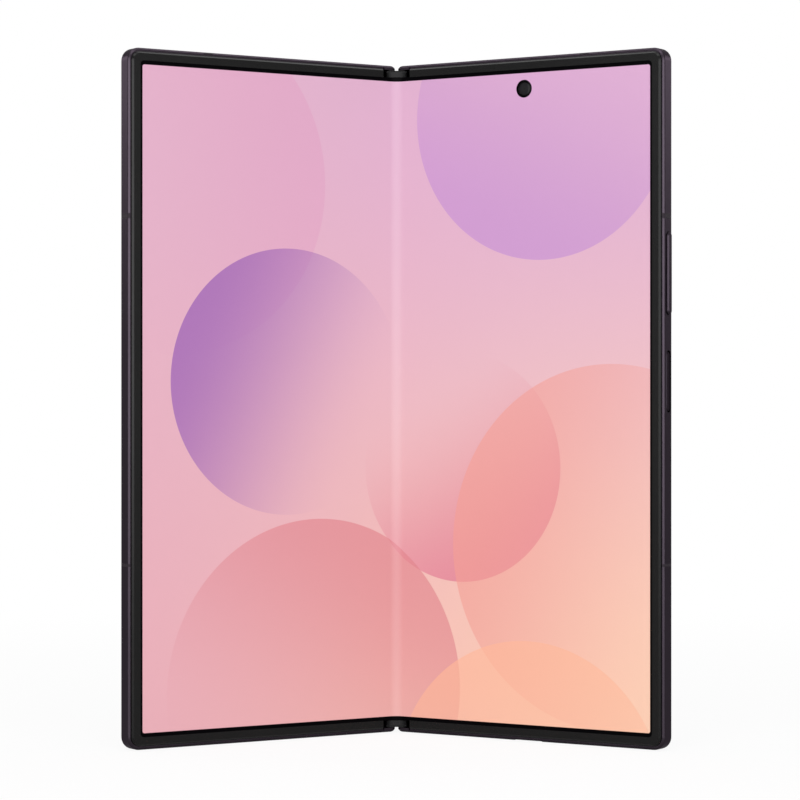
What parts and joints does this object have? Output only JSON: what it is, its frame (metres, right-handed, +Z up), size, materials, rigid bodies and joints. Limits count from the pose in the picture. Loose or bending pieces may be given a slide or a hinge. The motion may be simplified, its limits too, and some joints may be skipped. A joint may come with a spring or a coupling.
{
  "type": "foldable smartphone",
  "caption": "Book-style folding phone standing half open: two thin halves joined by a geared spine hinge, with a large bending screen inside and a cover screen outside.",
  "frame": {"origin": "on the surface it stands on, below the fold line's plane and midway between its front and back reach", "axes": "+Z up along the fold, +X to the right seen from the screen side, -Y out of the screen towards the viewer"},
  "size_m": [0.1242, 0.0412, 0.1584],
  "materials": {
    "anodised_frame": "satin anodised",
    "key_cap": "satin anodised",
    "antenna_plastic": "satin",
    "bezel_plastic": "soft matte",
    "inner_screen": "clear gloss over a lit picture",
    "display_steel": "matt",
    "spine_metal": "satin anodised",
    "end_cap_plastic": "satin",
    "hinge_steel": "machined",
    "pin_steel": "ground",
    "spring_steel": "oiled",
    "gear_brass": "machined",
    "polyimide": "satin",
    "back_glass": "etched glass, colour behind it",
    "cover_glass": "polished glass over a dark panel",
    "cover_panel": "black",
    "camera_metal": "satin anodised",
    "lens_glass": "coated glass, black behind it",
    "camera_body": "black",
    "flash_plastic": "clear, ribbed",
    "board": "solder mask",
    "shield_steel": "pressed",
    "pouch": "foil pouch",
    "copper": "enamelled winding",
    "speaker_plastic": "moulded",
    "switch_metal": "plated",
    "magnet": "plated",
    "card_plastic": "moulded"
  },
  "bodies": {
    "spine": {"spine_cover": "spine_metal", "spine_end_caps": "end_cap_plastic", "hinge_blocks": "hinge_steel", "gear_shafts": "pin_steel", "disc_springs": "spring_steel", "fold_flex_cable": "polyimide", "inner_display_fold": "inner_screen", "fold_lattice": "display_steel"},
    "right_arms": {"right_sync_arms": "hinge_steel", "right_arm_pins": "pin_steel"},
    "left_arms": {"left_sync_arms": "hinge_steel", "left_arm_pins": "pin_steel"},
    "right_idlers": {"right_idler_gears": "gear_brass"},
    "left_idlers": {"left_idler_gears": "gear_brass"},
    "right_half": {"right_frame": "anodised_frame", "right_antenna_bands": "antenna_plastic", "right_bezel": "bezel_plastic", "right_inner_display": "inner_screen", "right_display_plate": "display_steel", "right_rail_brackets": "hinge_steel", "right_bracket_screws": "pin_steel", "back_glass": "back_glass", "camera_island": "camera_metal", "camera_rings": "camera_metal", "camera_windows": "lens_glass", "camera_modules": "camera_body", "flash_lens": "flash_plastic", "front_camera": "lens_glass", "main_board": "board", "board_shields": "shield_steel", "right_battery": "pouch", "charging_coil": "copper", "usb_connector": "shield_steel", "bottom_speaker": "speaker_plastic", "vibration_motor": "shield_steel", "key_switches": "switch_metal", "right_magnets": "magnet"},
    "volume_rocker": {"volume_rocker": "anodised_frame"},
    "power_key": {"power_key": "key_cap"},
    "left_half": {"left_frame": "anodised_frame", "left_antenna_bands": "antenna_plastic", "left_bezel": "bezel_plastic", "left_inner_display": "inner_screen", "left_display_plate": "display_steel", "left_rail_brackets": "hinge_steel", "left_bracket_screws": "pin_steel", "cover_display": "cover_panel", "cover_glass": "cover_glass", "cover_camera": "lens_glass", "left_battery": "pouch", "sub_board": "board", "earpiece_speaker": "speaker_plastic", "card_reader": "shield_steel", "left_magnets": "magnet"},
    "card_tray": {"card_tray": "anodised_frame", "sim_card": "card_plastic"}
  },
  "joints": [
    {"name": "right_fold", "type": "hinge", "parent": "spine", "child": "right_half", "pos_m": [0.0013, 0.01747, 0.0792], "axis": [0, 0, 1], "range_deg": [-57.5, 32.5], "deforming": ["inner_display_fold", "fold_lattice", "fold_flex_cable"]},
    {"name": "left_fold", "type": "hinge", "parent": "spine", "child": "left_half", "pos_m": [-0.0013, 0.01747, 0.0792], "axis": [0, 0, 1], "range_deg": [-32.5, 57.5]},
    {"name": "right_arm_swing", "type": "hinge", "parent": "spine", "child": "right_arms", "pos_m": [0.0021, 0.01846, 0.0792], "axis": [0, 0, 1], "range_deg": [-57.5, 32.5]},
    {"name": "left_arm_swing", "type": "hinge", "parent": "spine", "child": "left_arms", "pos_m": [-0.0021, 0.01846, 0.0792], "axis": [0, 0, 1], "range_deg": [-32.5, 57.5]},
    {"name": "right_idler_spin", "type": "hinge", "parent": "spine", "child": "right_idlers", "pos_m": [0.0007, 0.01846, 0.0792], "axis": [0, 0, 1], "range_deg": [-32.5, 57.5]},
    {"name": "left_idler_spin", "type": "hinge", "parent": "spine", "child": "left_idlers", "pos_m": [-0.0007, 0.01846, 0.0792], "axis": [0, 0, 1], "range_deg": [-57.5, 32.5]},
    {"name": "volume_rock", "type": "hinge", "parent": "right_half", "child": "volume_rocker", "pos_m": [0.05975, -0.01805, 0.1075], "axis": [0.5373, 0.8434, 0], "range_deg": [-1.2, 1.2], "stiffness_Nm_per_rad": 0.7},
    {"name": "power_press", "type": "slide", "parent": "right_half", "child": "power_key", "axis": [-0.8434, 0.5373, 0], "range_m": [0, 0.0003], "stiffness_N_per_m": 5000},
    {"name": "card_tray_slide", "type": "slide", "parent": "left_half", "child": "card_tray", "axis": [0, 0, -1], "range_m": [0, 0.02]}
  ],
  "couplings": [
    {"joint": "left_fold", "follows": "right_fold", "ratio": -1},
    {"joint": "right_arm_swing", "follows": "right_fold", "ratio": 1},
    {"joint": "left_arm_swing", "follows": "right_fold", "ratio": -1},
    {"joint": "right_idler_spin", "follows": "right_fold", "ratio": -1},
    {"joint": "left_idler_spin", "follows": "right_fold", "ratio": 1}
  ]
}
